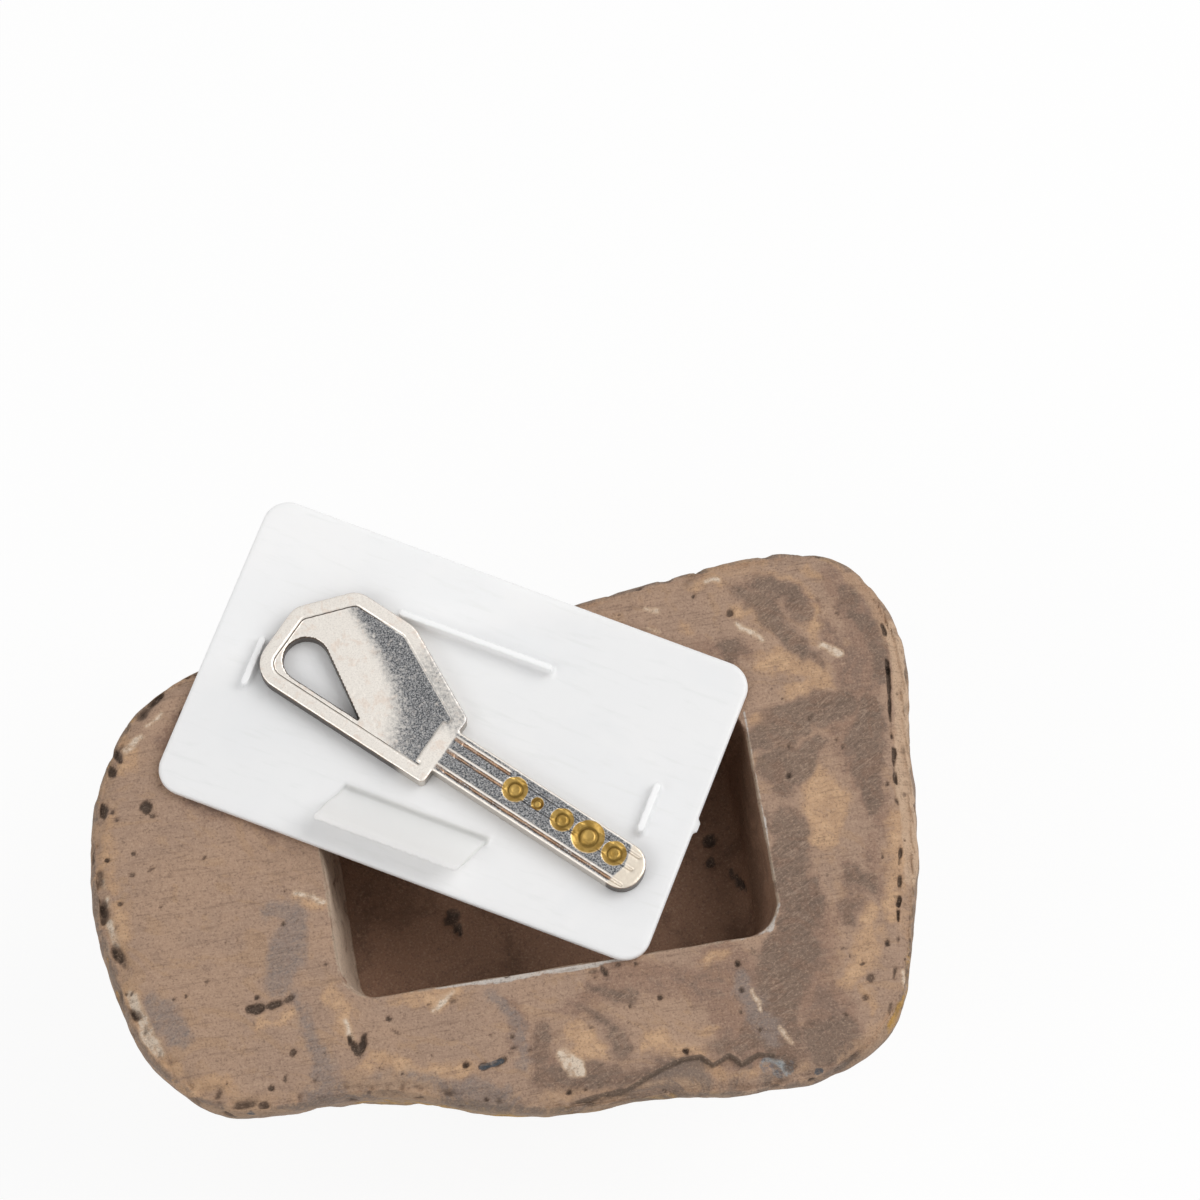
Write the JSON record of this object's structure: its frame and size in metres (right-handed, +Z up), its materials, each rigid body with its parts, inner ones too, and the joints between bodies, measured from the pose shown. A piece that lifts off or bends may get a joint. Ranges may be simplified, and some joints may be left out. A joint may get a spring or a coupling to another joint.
{
  "type": "hide a key rock",
  "caption": "Cast imitation stone lying on its crown, with a key pocket in its flat underside, a plastic snap cover and a door key.",
  "frame": {"origin": "middle of the worn flat on the crown, which the stone rests on", "axes": "+Z up, out of the flat underside; +X along the stone's and the pocket's long side, towards the broad end; +Y away from the viewer"},
  "size_m": [0.1206, 0.0964, 0.0696],
  "materials": {
    "cast_stone": "cast and hand-brushed imitation stone, matt",
    "natural_polypropylene": "uncoloured moulded polypropylene, slightly translucent",
    "nickel_plated_brass": "brushed nickel plate with fine speckled wear"
  },
  "bodies": {
    "rock": {"rock_body": "cast_stone"},
    "cover": {"snap_cover": "natural_polypropylene"},
    "key": {"door_key": "nickel_plated_brass"}
  },
  "joints": [
    {"name": "cover_lift", "type": "slide", "parent": "rock", "child": "cover", "axis": [0, 0, 1], "range_m": [0, 0.045]},
    {"name": "key_lift", "type": "slide", "parent": "cover", "child": "key", "axis": [0, 0, 1], "range_m": [0, 0.03]}
  ]
}
